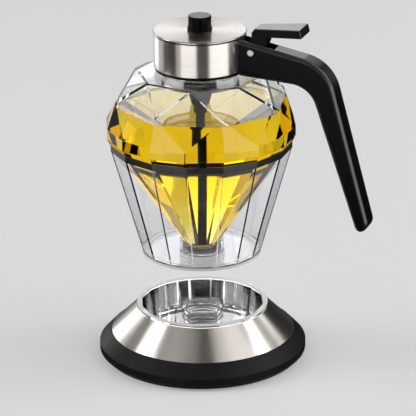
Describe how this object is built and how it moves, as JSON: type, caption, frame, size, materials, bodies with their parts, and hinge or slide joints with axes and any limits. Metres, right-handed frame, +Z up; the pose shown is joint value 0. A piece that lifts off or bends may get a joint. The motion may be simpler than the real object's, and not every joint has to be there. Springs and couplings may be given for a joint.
{
  "type": "honey dispenser",
  "caption": "Faceted clear honey jar with a round metal cap, side handle and thumb lever that lifts a valve rod, held above its round drip stand.",
  "frame": {"origin": "centre of the stand's foot pad, on the surface that it stands on", "axes": "+Z up along the jar's axis, +X from the jar's axis towards the handle"},
  "size_m": [0.1541, 0.1148, 0.1948],
  "materials": {
    "clear_acrylic": "polished",
    "honey": "gloss",
    "brushed_steel": "brushed",
    "polished_steel": "polished",
    "black_plastic": "satin",
    "grey_plastic": "satin",
    "slate_band": "satin",
    "black_silicone": "matte",
    "clear_silicone": "matte",
    "zinc_screw": "polished",
    "cast_weight": "rough"
  },
  "bodies": {
    "jar": {"jar": "clear_acrylic", "honey": "honey", "skirt": "clear_acrylic", "girdle_band": "slate_band", "nozzle": "clear_acrylic", "nozzle_seal": "black_silicone", "valve_seat": "clear_silicone"},
    "stand": {"foot_pad": "black_silicone", "base_ring": "grey_plastic", "base_plate": "cast_weight", "base_screws": "zinc_screw", "stand_cone": "brushed_steel", "cup_pan": "polished_steel", "drip_cup": "clear_acrylic", "drip_socket": "clear_acrylic"},
    "head": {"cap_shell": "brushed_steel", "cap_lid": "brushed_steel", "cap_liner": "black_plastic", "neck_gasket": "black_silicone", "neck_plug": "clear_acrylic", "plug_seal": "black_silicone", "rod_guide": "black_plastic", "guide_screws": "zinc_screw", "handle": "black_plastic", "handle_screws": "zinc_screw", "lever_pin": "polished_steel", "return_spring": "polished_steel"},
    "lever": {"thumb_lever": "black_plastic", "lift_fork": "polished_steel"},
    "plunger": {"plunger_rod": "black_plastic", "valve_stopper": "clear_silicone", "lift_collar": "black_plastic", "retaining_clip": "polished_steel", "knob": "black_plastic"}
  },
  "joints": [
    {"name": "jar_seating", "type": "slide", "parent": "jar", "child": "stand", "axis": [0, 0, 1], "range_m": [0, 0.0337]},
    {"name": "head_lift", "type": "slide", "parent": "jar", "child": "head", "axis": [0, 0, 1], "range_m": [0, 0.125]},
    {"name": "lever_hinge", "type": "hinge", "parent": "head", "child": "lever", "pos_m": [0.0309, 0, 0.1784], "axis": [0, 1, 0], "range_deg": [0, 10], "stiffness_Nm_per_rad": 0.5},
    {"name": "valve_lift", "type": "slide", "parent": "head", "child": "plunger", "axis": [0, 0, 1], "range_m": [0, 0.00539], "stiffness_N_per_m": 300, "deforming": ["return_spring"]}
  ],
  "couplings": [
    {"joint": "lever_hinge", "follows": "valve_lift", "rad_per_m": 32.362}
  ]
}
